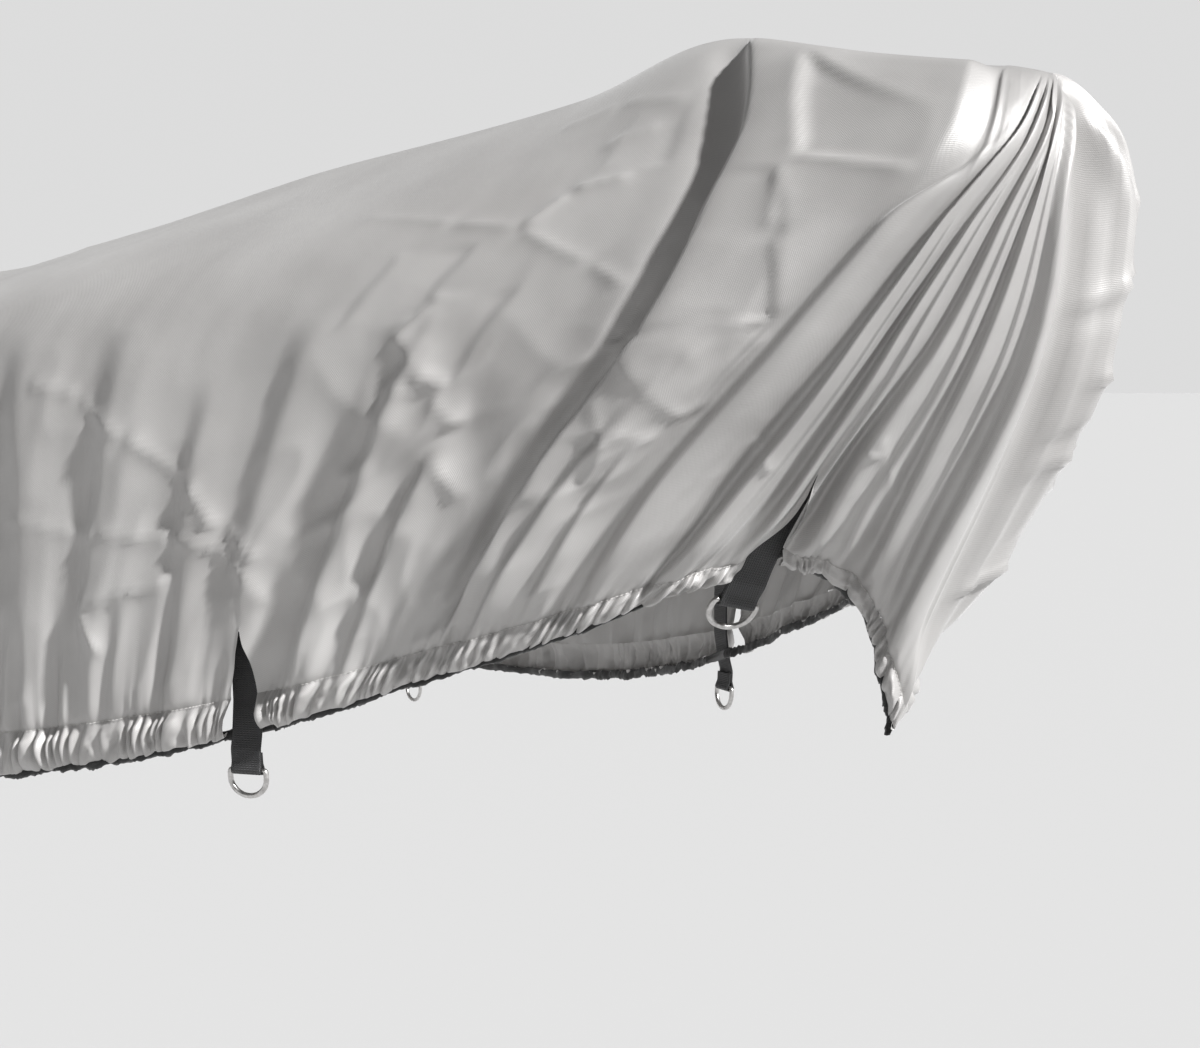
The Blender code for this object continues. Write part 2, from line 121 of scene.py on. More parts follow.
# Long folds. "top", "middle" and "hem" are distances round the hem from the stem; "from" and
# "to" run from ridge (0) to hem (1); "fore" and "aft" are the widths of the two flanks.
FOLDS = (
    # side  top    middle hem    from  to     height  fore   aft
    ("S",   0.474, 0.442, 0.466, 0.00, 0.95,  0.0240, 0.120, 0.008),
    ("S",   0.330, 0.335, 0.345, 0.20, 0.96,  0.0120, 0.044, 0.012),
    ("S",   0.280, 0.276, 0.284, 0.05, 0.98,  0.0190, 0.036, 0.007),
    ("S",   0.255, 0.252, 0.262, 0.30, 0.96,  0.0050, 0.012, 0.007),
    ("S",   0.218, 0.212, 0.226, 0.05, 0.92,  0.0180, 0.034, 0.007),
    ("S",   0.190, 0.187, 0.192, 0.24, 0.96,  0.0060, 0.012, 0.007),
    ("S",   0.155, 0.155, 0.168, 0.05, 0.98,  0.0170, 0.030, 0.008),
    ("S",   0.126, 0.126, 0.130, 0.20, 0.97,  0.0060, 0.012, 0.007),
    ("S",   0.100, 0.100, 0.104, 0.05, 0.98,  0.0140, 0.024, 0.008),
    ("S",   0.072, 0.072, 0.076, 0.16, 0.96,  0.0050, 0.010, 0.006),
    ("S",   0.056, 0.048, 0.050, 0.06, 0.96,  0.0120, 0.016, 0.008),
    ("S",   0.425, 0.412, 0.438, 0.62, 0.99,  0.0090, 0.022, 0.010),
    ("S",   0.392, 0.385, 0.398, 0.66, 0.99,  0.0070, 0.016, 0.010),
    ("S",   0.545, 0.535, 0.552, 0.66, 1.00,  0.0100, 0.022, 0.012),
    ("S",   0.590, 0.582, 0.600, 0.52, 0.99,  0.0100, 0.026, 0.016),
    ("S",   0.690, 0.662, 0.668, 0.50, 0.99,  0.0100, 0.030, 0.024),
    ("S",   0.735, 0.722, 0.716, 0.58, 0.99,  0.0070, 0.022, 0.018),
    ("S",   0.800, 0.792, 0.790, 0.50, 0.99,  0.0080, 0.032, 0.028),
    ("S",   0.880, 0.872, 0.866, 0.50, 0.99,  0.0080, 0.036, 0.030),
    ("P",   0.450, 0.440, 0.480, 0.02, 0.95,  0.0180, 0.080, 0.014),
    ("P",   0.310, 0.320, 0.330, 0.08, 0.97,  0.0140, 0.040, 0.012),
    ("P",   0.240, 0.245, 0.250, 0.08, 0.97,  0.0120, 0.028, 0.010),
    ("P",   0.160, 0.170, 0.180, 0.08, 0.97,  0.0120, 0.024, 0.010),
    ("P",   0.124, 0.126, 0.134, 0.12, 0.97,  0.0070, 0.014, 0.009),
    ("P",   0.092, 0.094, 0.100, 0.10, 0.98,  0.0130, 0.022, 0.009),
    ("P",   0.066, 0.064, 0.070, 0.20, 0.98,  0.0090, 0.014, 0.007),
    ("P",   0.040, 0.042, 0.046, 0.12, 0.98,  0.0120, 0.018, 0.008),
    ("P",   0.020, 0.020, 0.022, 0.24, 0.98,  0.0060, 0.010, 0.006),
    ("P",   0.560, 0.550, 0.570, 0.50, 0.99,  0.0090, 0.028, 0.018),
    ("P",   0.700, 0.680, 0.690, 0.45, 0.99,  0.0100, 0.050, 0.030),
)

# Packing creases and crumples: straight stretches between two places (round, down), raised or
# sunk, with a sharp crest. "width" is how far the cloth slopes away from the line.
CREASES = (
    # side  round  down   round  down   height   width
    ("S",   0.429, 0.100, 0.409, 0.265, 0.0032, 0.018),
    ("S",   0.429, 0.095, 0.346, 0.190, 0.0026, 0.026),
    ("S",   0.409, 0.265, 0.344, 0.280, 0.0030, 0.012),
    ("S",   0.414, 0.280, 0.399, 0.380, 0.0032, 0.014),
    ("S",   0.399, 0.380, 0.361, 0.500, 0.0035, 0.016),
    ("S",   0.470, 0.530, 0.416, 0.610, 0.0034, 0.014),
    ("S",   0.416, 0.610, 0.361, 0.660, 0.0034, 0.014),
    ("S",   0.361, 0.660, 0.358, 0.520, 0.0026, 0.012),
    ("S",   0.456, 0.670, 0.419, 0.670, 0.0030, 0.009),
    ("S",   0.419, 0.670, 0.372, 0.690, 0.0026, 0.009),
    ("S",   0.442, 0.620, 0.406, 0.700, 0.0024, 0.008),
    ("S",   0.406, 0.700, 0.401, 0.760, 0.0024, 0.008),
    ("S",   0.689, 0.330, 0.614, 0.360, 0.0018, 0.012),
    ("S",   0.614, 0.360, 0.563, 0.370, 0.0022, 0.012),
    ("S",   0.563, 0.370, 0.504, 0.420, 0.0026, 0.012),
    ("S",   0.504, 0.420, 0.474, 0.455, 0.0026, 0.010),
    ("S",   0.564, 0.370, 0.546, 0.300, 0.0030, 0.010),
    ("S",   0.546, 0.300, 0.508, 0.270, 0.0030, 0.010),
    ("S",   0.596, 0.160, 0.549, 0.140, 0.0014, 0.010),
    ("S",   0.549, 0.140, 0.492, 0.150, 0.0014, 0.010),
    ("S",   0.544, 0.220, 0.506, 0.185, 0.0016, 0.009),
    ("S",   0.608, 0.540, 0.579, 0.590, 0.0040, 0.012),
    ("S",   0.579, 0.590, 0.553, 0.610, 0.0038, 0.011),
    ("S",   0.601, 0.610, 0.563, 0.620, 0.0036, 0.011),
    ("S",   0.563, 0.620, 0.529, 0.660, 0.0040, 0.012),
    ("S",   0.590, 0.500, 0.608, 0.560, 0.0030, 0.011),
    ("S",   0.866, 0.590, 0.823, 0.610, 0.0035, 0.009),
    ("S",   0.823, 0.610, 0.778, 0.660, 0.0042, 0.010),
    ("S",   0.778, 0.660, 0.725, 0.710, 0.0042, 0.010),
    ("S",   0.725, 0.710, 0.694, 0.770, 0.0038, 0.010),
    ("S",   0.890, 0.735, 0.796, 0.760, 0.0032, 0.008),
    ("S",   0.796, 0.760, 0.730, 0.770, 0.0035, 0.008),
    ("S",   0.730, 0.770, 0.678, 0.800, 0.0042, 0.009),
    ("S",   0.678, 0.800, 0.636, 0.860, 0.0042, 0.009),
    ("S",   0.728, 0.750, 0.688, 0.765, 0.0032, 0.008),
    ("S",   0.688, 0.765, 0.649, 0.810, 0.0035, 0.008),
    ("S",   0.811, 0.830, 0.725, 0.820, 0.0048, 0.010),
    ("S",   0.811, 0.830, 0.781, 0.890, 0.0051, 0.010),
    ("S",   0.170, 0.690, 0.139, 0.690, 0.0026, 0.008),
    ("S",   0.155, 0.660, 0.105, 0.760, 0.0024, 0.009),
    ("S",   0.540, 0.700, 0.500, 0.760, 0.0028, 0.010),
    ("S",   0.300, 0.700, 0.262, 0.760, 0.0022, 0.008),
    ("P",   0.030, 0.520, 0.110, 0.560, 0.0060, 0.012),
    ("P",   0.004, 0.430, 0.070, 0.400, 0.0040, 0.010),
    ("P",   0.060, 0.700, 0.130, 0.720, 0.0060, 0.012),
    ("P",   0.010, 0.780, 0.080, 0.800, 0.0050, 0.010),
    ("P",   0.020, 0.620, 0.100, 0.660, 0.0035, 0.012),
    ("P",   0.050, 0.300, 0.120, 0.340, 0.0025, 0.012),
    ("P",   0.420, 0.200, 0.380, 0.420, 0.0030, 0.014),
    ("P",   0.560, 0.360, 0.470, 0.420, 0.0028, 0.012),
)
# Flat facets between creases: four corners (round, down) and how far each stands out.
PANELS = (
    ("S", ((0.427, 0.1), (0.346, 0.19), (0.344, 0.275), (0.409, 0.268)), (-0.005, 0.001, 0.0005, -0.0055)),
    ("S", ((0.466, 0.3), (0.414, 0.285), (0.361, 0.5), (0.459, 0.54)), (0.004, -0.005, -0.004, 0.0045)),
    ("S", ((0.459, 0.54), (0.361, 0.505), (0.361, 0.655), (0.416, 0.61)), (0.004, -0.004, -0.002, 0.003)),
    ("S", ((0.6, 0.48), (0.545, 0.47), (0.553, 0.6), (0.585, 0.58)), (0.004, -0.002, -0.006, 0.001)),
    ("S", ((0.585, 0.6), (0.54, 0.61), (0.528, 0.655), (0.572, 0.72)), (-0.005, 0.001, 0.004, 0.003)),
    ("S", ((0.64, 0.42), (0.59, 0.4), (0.6, 0.52), (0.65, 0.54)), (0.002, -0.003, -0.004, 0.003)),
    ("S", ((0.456, 0.675), (0.412, 0.675), (0.404, 0.75), (0.448, 0.78)), (0.003, -0.004, -0.004, 0.003)),
    ("S", ((0.53, 0.16), (0.49, 0.16), (0.49, 0.25), (0.54, 0.27)), (0.001, -0.002, -0.002, 0.002)),
    ("P", ((0.12, 0.42), (0.01, 0.46), (0.02, 0.6), (0.11, 0.58)), (-0.004, 0.003, 0.005, -0.002)),
    ("P", ((0.11, 0.62), (0.015, 0.64), (0.03, 0.76), (0.12, 0.74)), (0.004, -0.003, -0.003, 0.004)),
)
PACKED_WIDTH = 0.43         # between the packing creases that run up the plain cloth aft
PACKED_LEVELS = (0.20, 0.47, 0.74)
SAG = 0.010
SAG_LENGTH = 0.62
WALL_DEPTH = 0.58           # metres that one unit of "down" stands for at the bow

STRAPS = (
    # name  round   lean, degrees
    ("1",   0.190,  4.0),
    ("2",   0.640, 15.0),
    ("3",   1.450,  6.0),
    ("4",   2.350,  4.0),
    ("5",   3.250,  3.0),
)
NOTCH_TOPS = {"1": 0.76, "2": 0.88}
NOTCH_TOP = 0.88


# ---------------------------------------------------------------- the cover's surface
def slopes(x, y, level_start=False):
    step = np.diff(x)[:, None]
    chord = np.diff(y, axis=0) / step
    slope = np.empty_like(y)
    slope[1:-1] = (chord[:-1] * step[1:] + chord[1:] * step[:-1]) / (step[1:] + step[:-1])
    slope[0] = chord[0]
    slope[-1] = chord[-1]
    if level_start:
        slope[0, 2] = 0.0
    return slope


def smooth_curve(x, y, at, level_start=False):
    """Points at the given places on the smooth curve through (x, y)."""
    at = np.clip(at, x[0], x[-1])
    i = np.clip(np.searchsorted(x, at, side="right") - 1, 0, len(x) - 2)
    slope = slopes(x, y, level_start)
    step = (x[i + 1] - x[i])[:, None]
    t = (at - x[i])[:, None] / step
    hermite = (2 * t**3 - 3 * t**2 + 1) * y[i] + (3 * t**2 - 2 * t**3) * y[i + 1]
    return hermite + step * ((t**3 - 2 * t**2 + t) * slope[i] + (t**3 - t**2) * slope[i + 1])


def ribs():
    rows = np.array([row[:-1] + ((row[-1][0], 0.0, row[-1][1]),) for row in OFFSETS])
    steps = np.linalg.norm(np.diff(rows[:, 0], axis=0), axis=1)
    return np.concatenate([[0.0], np.cumsum(steps)]), rows


RIB_AT, RIB_ROWS = ribs()
HEM_LENGTH = RIB_AT[-1]


def smoothstep(low, high, value):
    t = np.clip((value - low) / (high - low), 0.0, 1.0)
    return t * t * (3.0 - 2.0 * t)


def base_surface(around, down, side):
    """Cloth without folds. around is a grid, one column of it for each level in down."""
    levels = np.array(OFFSET_LEVELS[::-1])
    at_levels = np.array([smooth_curve(levels, rib[::-1], down, True) for rib in RIB_ROWS])
    points = np.stack([smooth_curve(RIB_AT, at_levels[:, j], around[:, j])
                       for j in range(len(down))], axis=1)
    if side == "P":
        points[..., 1] *= -1.0
        swell = smooth_curve(levels, np.array(PORT_SWELL[::-1])[:, None], down)[:, 0]
        reach = smoothstep(0.0, 0.08, around) * np.exp(-(around / SWELL_REACH) ** 2)
        points += np.array((0.25, 1.0, 0.0)) * (reach * swell[None, :])[..., None]
    lean = np.exp(-(around / 0.15) ** 2) * (1.0 - np.clip(down, 0, 1))[None, :] ** 0.7
    points[..., 1] += LEAN * lean
    return points


def outward(points, side):
    along = np.gradient(points, axis=0)
    downward = np.gradient(points, axis=1)
    normal = np.cross(along, downward) * (1.0 if side == "S" else -1.0)
    return normal / np.maximum(np.linalg.norm(normal, axis=2, keepdims=True), 1e-9)


# ---------------------------------------------------------------- folds, creases and gathers
def lattice_noise(u, v, seed):
    """Smooth noise of about -1 to 1, one bump per unit of u and v."""
    table = np.random.default_rng(seed).uniform(-1, 1, (257, 257))
    iu = np.floor(u).astype(int)
    iv = np.floor(v).astype(int)
    fu = u - iu
    fv = v - iv
    fu = fu * fu * (3 - 2 * fu)
    fv = fv * fv * (3 - 2 * fv)
    iu %= 256
    iv %= 256
    top = table[iu, iv] * (1 - fu) + table[iu + 1, iv] * fu
    low = table[iu, iv + 1] * (1 - fu) + table[iu + 1, iv + 1] * fu
    return top * (1 - fv) + low * fv


def fan(around, levels):
    """Distances that follow the fan of folds, which closes in on the top of the bow's fold."""
    dense = np.linspace(0.0, HEM_LENGTH, 6000)
    spread = np.empty_like(around)
    for j, level in enumerate(levels):
        closing = 0.60 * (1 - smoothstep(0.0, 0.36, level)) * (1 - smoothstep(0.34, 0.47, dense))
        spread[:, j] = np.interp(around[:, j], dense * (1 - closing), dense)
    return spread


def panel_height(a, r, side):
    height = np.zeros_like(a)
    for where, corners, rises in PANELS:
        if where != side:
            continue
        c = np.array(corners) * (1.0, WALL_DEPTH)
        fit = np.linalg.lstsq(np.column_stack([c, np.ones(4)]), np.array(rises), rcond=None)[0]
        turn = np.sign(np.cross(c[1] - c[0], c[2] - c[1]))
        inside = np.full_like(a, 1.0)
        for p, q in zip(c, np.roll(c, -1, axis=0)):
            edge = (q - p) / np.linalg.norm(q - p)
            off = turn * (edge[0] * (r * WALL_DEPTH - p[1]) - edge[1] * (a - p[0]))
            inside = np.minimum(inside, off + 0.0015 * np.sin(45 * (a + r)))
        weight = smoothstep(-0.003, 0.008, inside)
        height += weight * (fit[0] * a + fit[1] * r * WALL_DEPTH + fit[2])
    return height


def fold_height(a, r, side):
    height = np.zeros_like(a)
    for where, top, middle, hem, start, end, rise, fore, aft in FOLDS:
        if where != side:
            continue
        wander = 0.004 * lattice_noise(r * 5.0 + top * 31, np.full_like(r, top * 17), 3)
        line = top * (1 - r) * (1 - 2 * r) + 4 * middle * r * (1 - r) + hem * r * (2 * r - 1) + wander
        t = a - line
        lee = np.where(t < aft, 0.5 * (1 + np.cos(math.pi * np.clip(t / aft, 0, 1))), 0.0)
        crest = np.where(t < 0, np.exp(-np.abs(t / fore) ** 1.6), lee)
        trough = 0.28 * np.exp(-((t - 1.7 * aft) / (1.6 * aft)) ** 2)
        fade = smoothstep(start, start + 0.10, r) * (1 - smoothstep(end - 0.10, end + 0.04, r))
        swing = 1.0 + 0.30 * lattice_noise(r * 4.0 + 9 * top, np.full_like(r, 5 * top), 11)
        height += rise * (crest - trough) * fade * swing
    return height


def crease_height(a, r, side):
    height = np.zeros_like(a)
    for where, a0, r0, a1, r1, rise, width in CREASES:
        if where != side:
            continue
        p = np.array((a0, r0 * WALL_DEPTH))
        q = np.array((a1, r1 * WALL_DEPTH))
        run = q - p
        length = np.linalg.norm(run)
        du = a - p[0]
        dv = r * WALL_DEPTH - p[1]
        s = (du * run[0] + dv * run[1]) / length
        t = (du * run[1] - dv * run[0]) / length
        t = t + 0.0012 * np.sin(s * 55.0 + a0 * 50)
        body = smoothstep(-0.25 * width, width, s)
        body *= 1 - smoothstep(length - width, length + 0.25 * width, s)
        swing = 0.9 + 0.25 * np.sin(s * 30.0 + r0 * 90)
        height += 1.25 * rise * swing * body * np.exp(-np.abs(t) / width * 1.9)
    return height


def ripple_height(a, r, side):
    """The small unevenness between the big folds."""
    seed = 21 if side == "S" else 57
    wall = smoothstep(0.42, 0.72, r) * smoothstep(0.50, 0.62, a)
    bow = (1 - smoothstep(0.33, 0.37, a)) * smoothstep(0.10, 0.3, r) * smoothstep(0.02, 0.06, a)
    panel = smoothstep(0.35, 0.39, a) * (1 - smoothstep(0.60, 0.70, a)) * smoothstep(0.35, 0.6, r)
    roof = (1 - smoothstep(0.40, 0.55, r)) * smoothstep(0.4, 0.6, a)
    height = 0.0045 * wall * lattice_noise(a / 0.062 + 0.8 * r, r * 1.6, seed)
    height += 0.0022 * wall * lattice_noise(a / 0.026 - 1.5 * r, r * 3.0, seed + 1)
    height += 0.0022 * bow * lattice_noise(a / 0.017, r * 2.2, seed + 2)
    crumple = 1.0 - 2.0 * np.abs(lattice_noise(a / 0.045 + 2.0 * r, r * 11.0 + a * 9.0, seed + 3))
    height += 0.0030 * panel * crumple
    fine = 1.0 - 2.0 * np.abs(lattice_noise(a / 0.030 - 1.2 * r, r * 19.0 - a * 7.0, seed + 4))
    height += 0.0010 * (0.25 + wall + panel) * fine * (1 - 0.8 * roof)
    height += 0.0012 * roof * lattice_noise(a / 0.11, r * 4.0, seed + 5)
    aft = smoothstep(0.8, 1.4, a) * smoothstep(0.05, 0.35, r) * (1 - smoothstep(0.9, 1.1, r))
    wave = np.sin(2 * math.pi * a / SAG_LENGTH + (1.1 if side == "P" else 0.0))
    height += SAG * wave * aft
    height += 0.006 * aft * lattice_noise(a / 0.17 + 0.6 * r, r * 2.0, seed + 6)
    plain = smoothstep(0.9, 1.2, a) * (0.55 + 0.45 * lattice_noise(a / 0.3, r * 3.0, seed + 7))
    bend = 0.02 * lattice_noise(a / 0.25, r * 3.0, seed + 8)
    across = np.abs((a + bend) % PACKED_WIDTH - PACKED_WIDTH / 2)
    height += 0.0050 * plain * np.exp(-across / 0.022)
    for level in PACKED_LEVELS:
        height += 0.0040 * plain * np.exp(-np.abs(r + 0.4 * bend - level) / 0.022)
    return height


def gutter(a, r):
    """How far the cloth falls back between the bow's two front lobes."""
    return 0.016 * np.exp(-(a / 0.020) ** 2) * smoothstep(0.03, 0.20, r) * (1 - smoothstep(0.80, 0.95, r))


def gather_phase(a, side):
    """Phase of the hem's puckers: about 11 mm each, uneven."""
    seed = 5 if side == "S" else 6
    return 2 * math.pi * (a / 0.0125 + 1.5 * lattice_noise(a / 0.045, a * 0.0, seed)
                          + 0.75 * lattice_noise(a / 0.017, a * 0.0 + 3.3, seed))


def pucker(a, slant, side):
    """Rounded bulges with sharp clefts between them, from -0.5 to 0.5."""
    return np.abs(np.sin(0.5 * gather_phase(a, side) + slant)) ** 0.75 - 0.5


def gather_height(a, r, side):
    """Pleats that run up from the hem and die out in the wall."""
    seed = 31 if side == "S" else 77
    reach = 0.10 + 0.05 * lattice_noise(a / 0.03, a * 0.0 + 1.7, seed)
    up = np.clip((STITCH_LEVEL - r) / reach, 0, 3)
    wide = lattice_noise(a / 0.0135 + 0.4 * up, up * 0.5, seed + 1)
    height = 0.0070 * wide * np.exp(-0.9 * up) * (1 - 0.6 * np.exp(-14.0 * up))
    height += 0.0034 * pucker(a, 0.0, side) * np.exp(-5.0 * up)
    height -= 0.0018 * np.exp(-20.0 * up)
    return height * smoothstep(0.0, 0.25, r)


def strap_shift(around, level, twins=True):
    """Distances round the hem with the cloth pushed aside at the notches. A notch leans with
    its strap. With twins, the first of two equal distances is the notch's fore edge."""
    shifted = around.copy()
    for name, place, lean in STRAPS:
        start = NOTCH_TOPS.get(name, NOTCH_TOP)
        half = np.clip((level - start) / (1.0 - start), 0.0, 1.0) ** 1.2 * NOTCH_WIDTH / 2
        easing = smoothstep(start - NOTCH_LEAN_REACH, start, level)
        drift = math.tan(math.radians(lean)) * (1 - level) * WALL_DEPTH * easing
        t = around - place
        side = np.where(t >= 0, 1.0, -1.0)
        if twins:
            side[np.argmin(np.abs(t))] = -1.0
        away = np.abs(t)
        pushed = place + drift * (1 - away / NOTCH_EASE) + side * (half + away * (1 - half / NOTCH_EASE))
        shifted = np.where(away < NOTCH_EASE, pushed, shifted)
    return shifted


def columns(fine, coarse):
    """Distances round the hem: close at the bow, wide aft. Each strap's middle is there twice."""
    fixed = [0.0] + [row[1] for row in STRAPS] + [HEM_LENGTH]
    places = [0.0]
    for start, end in zip(fixed, fixed[1:]):
        stops = [start, end] if not start < BOW_END < end else [start, BOW_END, end]
        for low, high in zip(stops, stops[1:]):
            spacing = fine if high <= BOW_END + 1e-6 else coarse
            count = max(1, round((high - low) / spacing))
            places += list(np.linspace(low, high, count + 1)[1:])
        if end != HEM_LENGTH:
            places.append(end)
    return np.array(places)


def cover_surface(places, levels, side, gathers=True):
    """Points and outward normals of the finished cloth for a grid of columns and levels."""
    levels = np.asarray(levels, float)
    around = np.stack([strap_shift(places, level) for level in levels], axis=1)
    base = base_surface(around, levels, side)
    normal = outward(base, side)
    down = np.broadcast_to(levels[None, :], around.shape)
    edge = smoothstep(0.0, 0.10, down) * smoothstep(0.0, STEM_FADE, around)
    edge *= smoothstep(0.0, STERN_FADE, HEM_LENGTH - around)
    spread = np.linalg.norm(np.gradient(base, axis=0), axis=2)
    step = np.maximum(np.gradient(places)[:, None], 1e-6)
    pinch = np.clip(spread / step, 0.10, 1.0) ** 0.75
    swept = fan(around, levels)
    height = (fold_height(swept, down, side) + ripple_height(swept, down, side)) * pinch
    height += crease_height(around, down, side) + panel_height(around, down, side)
    if gathers:
        height += gather_height(around, down, side)
    points = base + normal * (height * edge)[..., None]
    points[..., 0] -= gutter(around, down)
    for i in np.flatnonzero(np.diff(places) < 1e-9):
        shut = np.abs(around[i + 1] - around[i]) < 1e-6
        middle = 0.5 * (points[i] + points[i + 1])
        points[i, shut] = points[i + 1, shut] = middle[shut]
    return points, normal


# ---------------------------------------------------------------- making meshes
def link(name, mesh):
    obj = bpy.data.objects.new(name, mesh)
    bpy.context.scene.collection.objects.link(obj)
    return obj


def grid_mesh(name, points, uv, places, flip):
    """A mesh from a grid of points (hull coordinates), open where a column is there twice."""
    m = points.shape[1]
    verts = [tuple(p) for p in (points - RIDGE).reshape(-1, 3)]
    flat_uv = uv.reshape(-1, 2)
    faces = []
    face_uvs = []
    for i in np.flatnonzero(np.diff(places) > 1e-9):
        for j in range(m - 1):
            quad = [i * m + j, i * m + j + 1, (i + 1) * m + j + 1, (i + 1) * m + j]
            if flip:
                quad.reverse()
            faces.append(quad)
            face_uvs.append([tuple(flat_uv[k]) for k in quad])
    mesh = bpy.data.meshes.new(name)
    mesh.from_pydata(verts, [], faces)
    layer = mesh.uv_layers.new(name="metres")
    layer.data.foreach_set("uv", np.array(face_uvs, float).reshape(-1))
    bm = bmesh.new()
    bm.from_mesh(mesh)
    bmesh.ops.remove_doubles(bm, verts=bm.verts, dist=2e-6)
    bmesh.ops.dissolve_degenerate(bm, edges=bm.edges, dist=1e-7)
    bm.to_mesh(mesh)
    bm.free()
    mesh.shade_smooth()
    return link(name, mesh)


def sheet_uv(places, points):
    """Across and down in metres, so the weave keeps its size."""
    drop = np.linalg.norm(np.diff(points, axis=1), axis=2)
    down = np.concatenate([np.zeros((len(points), 1)), np.cumsum(drop, axis=1)], axis=1)
    return np.stack([np.broadcast_to(places[:, None], down.shape), down], axis=2)


def cover_cloth(side):
    fine, rows = (0.0027, 122) if side == "S" else (0.0052, 84)
    places = columns(fine, 0.0145)
    levels = np.concatenate([np.linspace(0, 0.86, rows), np.linspace(0.86, STITCH_LEVEL, 24)[1:]])
    points, _ = cover_surface(places, levels, side)
    name = "cover_starboard" if side == "S" else "cover_port"
    return grid_mesh(name, points, sheet_uv(places, points), places, side == "P")


def hem_channel(side):
    """The gathered channel below the stitching, rolled under at its edge."""
    places = columns(0.0016, 0.0048)
    levels = np.linspace(STITCH_LEVEL, 1.0, 9)
    flat, normal = cover_surface(places, levels, side, gathers=False)
    top, _ = cover_surface(places, levels[:2], side)
    lift = np.sum((top[:, 0] - flat[:, 0]) * normal[:, 0], axis=1)
    s = np.linspace(0, 1, 9)[None, :]
    a = places[:, None] + 0.0 * s
    slant = 1.4 * s * lattice_noise(a / 0.03, a * 0 + 8.1, 41)
    bulge = pucker(a, slant, side)
    size = 1.0 + 0.70 * lattice_noise(a / 0.012, a * 0 + 6.6, 45)
    swell = (0.0004 + 0.0058 * np.sin(math.pi * s) ** 0.8) * (0.55 + 0.7 * bulge) * np.minimum(1, 6 * s)
    ruffle = (0.0012 + 0.0036 * s ** 0.7) * bulge * np.minimum(1, 4 * s)
    uneven = 0.0026 * lattice_noise(a / 0.006, s * 4.0, 43) * np.minimum(1, 3 * s)
    ends = np.clip(np.minimum(a, HEM_LENGTH - a) / 0.010, 0, 1)
    height = (lift[:, None] * (1 - s) ** 2 + (swell + ruffle) * size + uneven) * ends
    points = flat + normal * height[..., None]
    down = flat[:, -1] - flat[:, -2]
    down /= np.linalg.norm(down, axis=1, keepdims=True)
    drop = 0.0026 * lattice_noise(places / 0.0075, places * 0 + 2.2, 47)
    points += (down * drop[:, None])[:, None, :] * (s ** 2)[..., None]
    roll = [points[:, -1] - normal[:, -1] * inward + down * low
            for inward, low in ((0.0016, 0.0010), (0.0036, 0.0004), (0.0048, -0.0030))]
    points = np.concatenate([points, np.stack(roll, axis=1)], axis=1)
    name = "channel_starboard" if side == "S" else "channel_port"
    uv = sheet_uv(places, points) + np.array((0.0, 0.6))
    return grid_mesh(name, points, uv, places, side == "P")


def frames_at(places, level, side, gathers=True):
    points, normal = cover_surface(places, (level - 0.02, level), side, gathers)
    down = points[:, 1] - points[:, 0]
    down /= np.linalg.norm(down, axis=1, keepdims=True)
    ends = (places < 1e-6) | (places > HEM_LENGTH - 1e-6)
    facing = normal[:, 1].copy()
    facing[ends, 1] = 0.0
    facing /= np.linalg.norm(facing, axis=1, keepdims=True)
    return points[:, 1], facing, down


def stitching():
    """The stitch line along the top of the channel, each stitch a short raised thread."""
    length = 0.0030
    pitch = 0.0038
    radius = 0.00035
    verts = []
    faces = []
    for side in "SP":
        places = np.arange(0.010, HEM_LENGTH - 0.004, pitch)
        gap = np.zeros(len(places), bool)
        for _, place, _ in STRAPS:
            gap |= np.abs(places - place) < 0.020
        places = places[~gap]
        ends = [frames_at_free(places + shift, STITCH_LEVEL, side) for shift in (0, length)]
        start, normal = ends[0]
        end = ends[1][0]
        along = end - start
        along /= np.maximum(np.linalg.norm(along, axis=1, keepdims=True), 1e-9)
        flat = np.cross(along, normal)
        for k in range(len(places)):
            ring_points = []
            for centre, size, lift in ((start[k], 0.4, 0.0002), ((start[k] + end[k]) / 2, 1.0, 0.0009),
                                       (end[k], 0.4, 0.0002)):
                for m in range(4):
                    angle = math.pi / 2 * m
                    offset = (flat[k] * math.cos(angle) + normal[k] * math.sin(angle)) * radius * size
                    ring_points.append(centre + normal[k] * (lift + 0.0006) + offset)
            base = len(verts)
            verts += [tuple(p - RIDGE) for p in ring_points]
            for row in range(2):
                for m in range(4):
                    n = (m + 1) % 4
                    low = base + row * 4
                    faces.append([low + m, low + n, low + 4 + n, low + 4 + m])
            faces.append([base + 3, base + 2, base + 1, base])
            faces.append([base + 8, base + 9, base + 10, base + 11])
    mesh = bpy.data.meshes.new("hem_stitching")
    mesh.from_pydata(verts, [], faces)
    mesh.shade_smooth()
    return link("hem_stitching", mesh)


